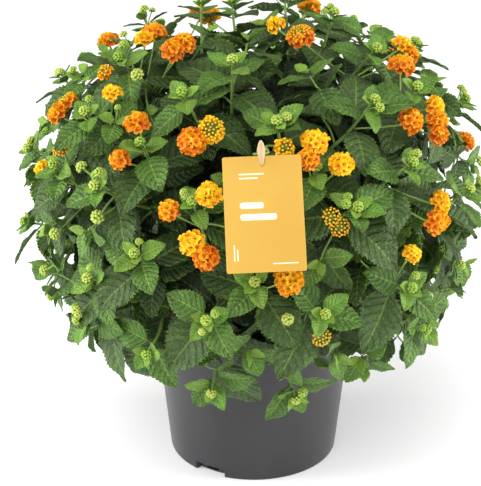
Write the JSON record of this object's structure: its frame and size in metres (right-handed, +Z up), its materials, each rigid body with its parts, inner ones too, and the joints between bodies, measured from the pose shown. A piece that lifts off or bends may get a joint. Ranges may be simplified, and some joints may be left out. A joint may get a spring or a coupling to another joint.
{
  "type": "potted lantana",
  "caption": "Bushy flowering lantana in a round dark grey pot, with toothed leaves, yellow to orange flower heads and a blank card clipped to one shoot.",
  "frame": {"origin": "centre of the pot's flat underside", "axes": "+Z up along the pot's axis, -Y towards the side that the label card faces, +X to the right seen from there"},
  "size_m": [0.4274, 0.4601, 0.4285],
  "materials": {
    "pot_plastic": "moulded recycled plastic, dark grey, fine grain with a soft sheen",
    "soil": "moist peat potting soil, crumbly, with bark bits and pale grains",
    "bark": "thin grey-brown bark on woody stems, greener towards the tips",
    "leaf": "rough veined leaf, yellow-green when young and dark grey-green when old, with green stems",
    "petal": "matt soft petals, yellow in the middle of a head to deep orange at its rim",
    "label": "smooth amber printed card with a few plain pale rules",
    "clip_wood": "plain pale wood, fine straight grain"
  },
  "bodies": {
    "root": {"pot": "pot_plastic", "soil": "soil", "woody_stems": "bark", "shoot_01": "leaf", "shoot_02": "leaf", "shoot_03": "leaf", "shoot_04": "leaf", "shoot_05": "leaf", "shoot_06": "leaf", "shoot_07": "leaf", "shoot_08": "leaf", "shoot_09": "leaf", "shoot_10": "leaf", "shoot_11": "leaf", "shoot_12": "leaf", "shoot_13": "leaf", "shoot_14": "leaf", "shoot_15": "leaf", "shoot_16": "leaf", "shoot_17": "leaf", "shoot_18": "leaf", "shoot_19": "leaf", "shoot_20": "leaf", "shoot_21": "leaf", "bloom_01": "petal", "bloom_02": "petal", "bloom_03": "petal", "bloom_04": "petal", "bloom_05": "petal", "bloom_06": "petal", "bloom_07": "petal", "bloom_08": "petal", "bloom_09": "petal", "bloom_10": "petal", "bloom_11": "petal", "bloom_12": "petal", "bloom_13": "petal", "bloom_14": "petal", "bloom_15": "petal", "bloom_16": "petal", "bloom_17": "petal", "bloom_18": "petal", "bloom_19": "petal", "bloom_20": "petal", "bloom_21": "petal", "bloom_22": "petal", "bloom_23": "petal", "bloom_24": "petal", "bloom_25": "petal", "bloom_26": "petal", "bloom_27": "petal", "bloom_28": "petal", "bloom_29": "petal", "bloom_30": "petal", "bloom_31": "petal", "bloom_32": "petal", "bloom_33": "petal", "bloom_34": "petal", "label_card": "label", "label_clip": "clip_wood"}
  },
  "joints": []
}
